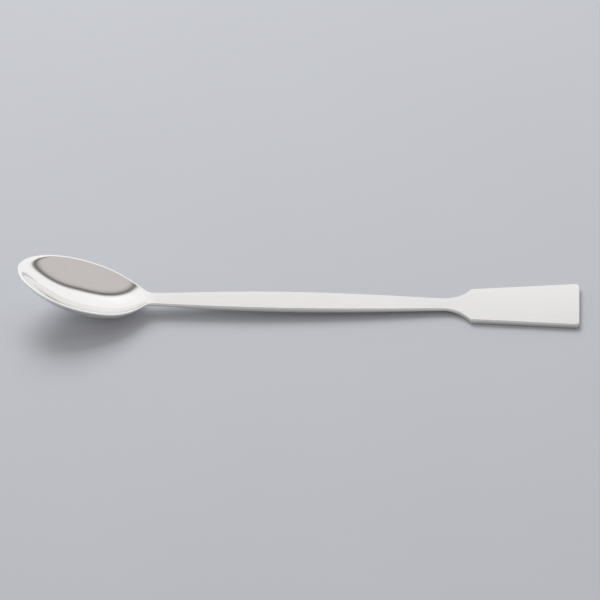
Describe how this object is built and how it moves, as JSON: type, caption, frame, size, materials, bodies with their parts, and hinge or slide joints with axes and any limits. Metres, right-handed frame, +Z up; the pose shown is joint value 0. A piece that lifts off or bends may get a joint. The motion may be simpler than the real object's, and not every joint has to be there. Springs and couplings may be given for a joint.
{
  "type": "lab spatula",
  "caption": "Stainless steel lab spatula in one piece, with a spoon bowl at one end and a flat widening blade at the other.",
  "frame": {"origin": "on the bench, midway between the tip of the bowl and the end of the blade", "axes": "+X from the bowl's tip to the blade's end, +Z up from the bench, away from the underside"},
  "size_m": [0.18, 0.0238, 0.0177],
  "materials": {
    "steel": "polished"
  },
  "bodies": {
    "root": {"spoon_spatula": "steel"}
  },
  "joints": []
}
